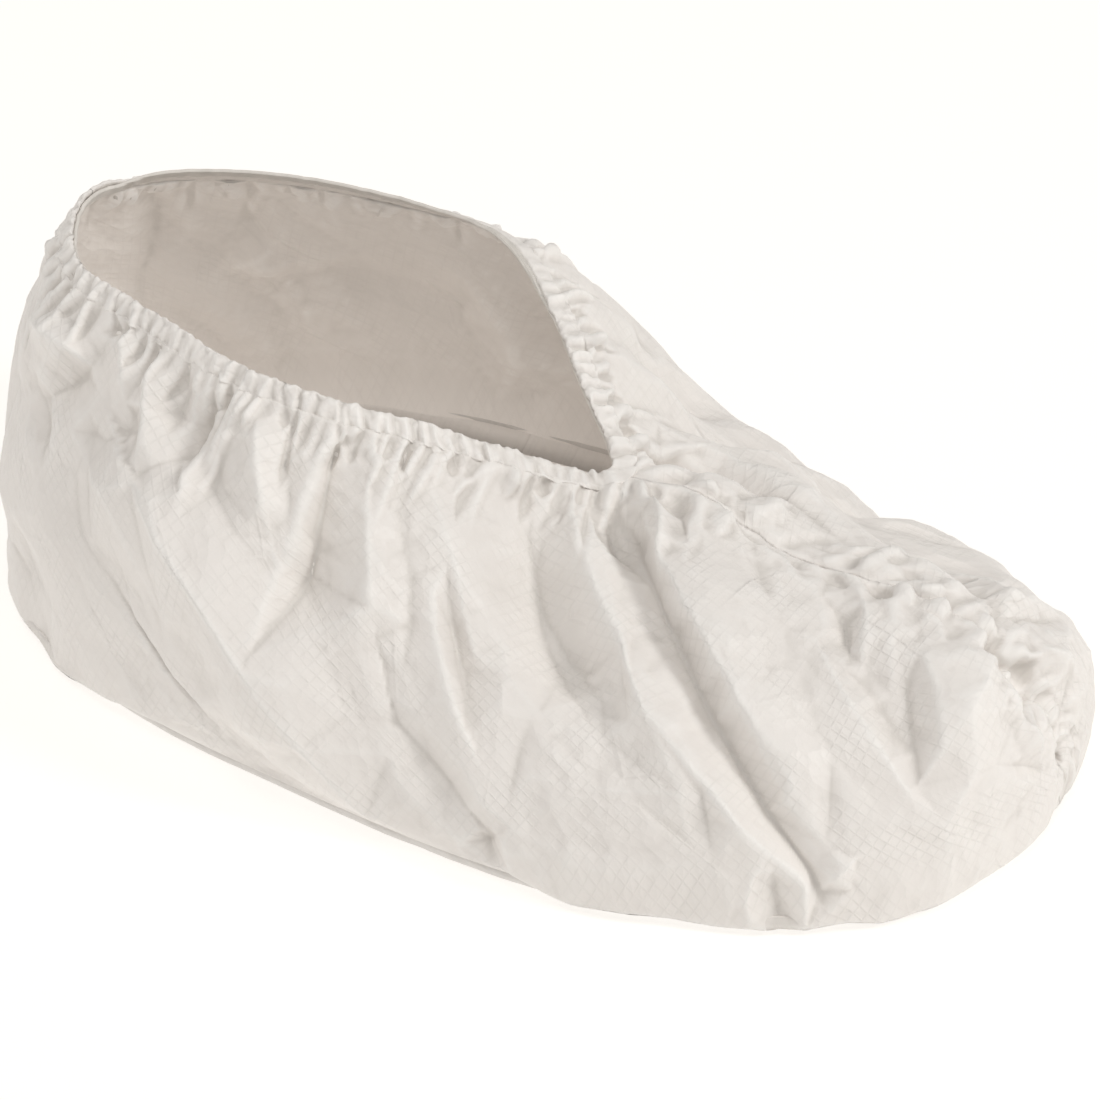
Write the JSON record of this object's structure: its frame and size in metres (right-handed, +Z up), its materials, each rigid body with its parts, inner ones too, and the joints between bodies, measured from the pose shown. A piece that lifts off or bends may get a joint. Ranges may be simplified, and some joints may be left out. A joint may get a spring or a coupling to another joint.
{
  "type": "vinyl shoe cover",
  "caption": "Slip-on overshoe of white laminate fabric with a gathered elastic ankle opening, a seamed toe and a flat vinyl sole.",
  "frame": {"origin": "middle of the sole's underside, at the middle of the whole cover's length and width", "axes": "+X from heel to toe along the longest side, +Z up, square to the flat sole"},
  "size_m": [0.3792, 0.22, 0.124],
  "materials": {
    "laminate": "thin film-laminated non-woven fabric, white, softly shiny outside and matt inside",
    "vinyl": "embossed white vinyl sheet, satin",
    "elastic": "ribbed knitted elastic tape, warm grey"
  },
  "bodies": {
    "root": {"side_panel_near": "laminate", "side_panel_far": "laminate", "sole": "vinyl", "ankle_hem": "laminate", "elastic_tape": "elastic"}
  },
  "joints": []
}
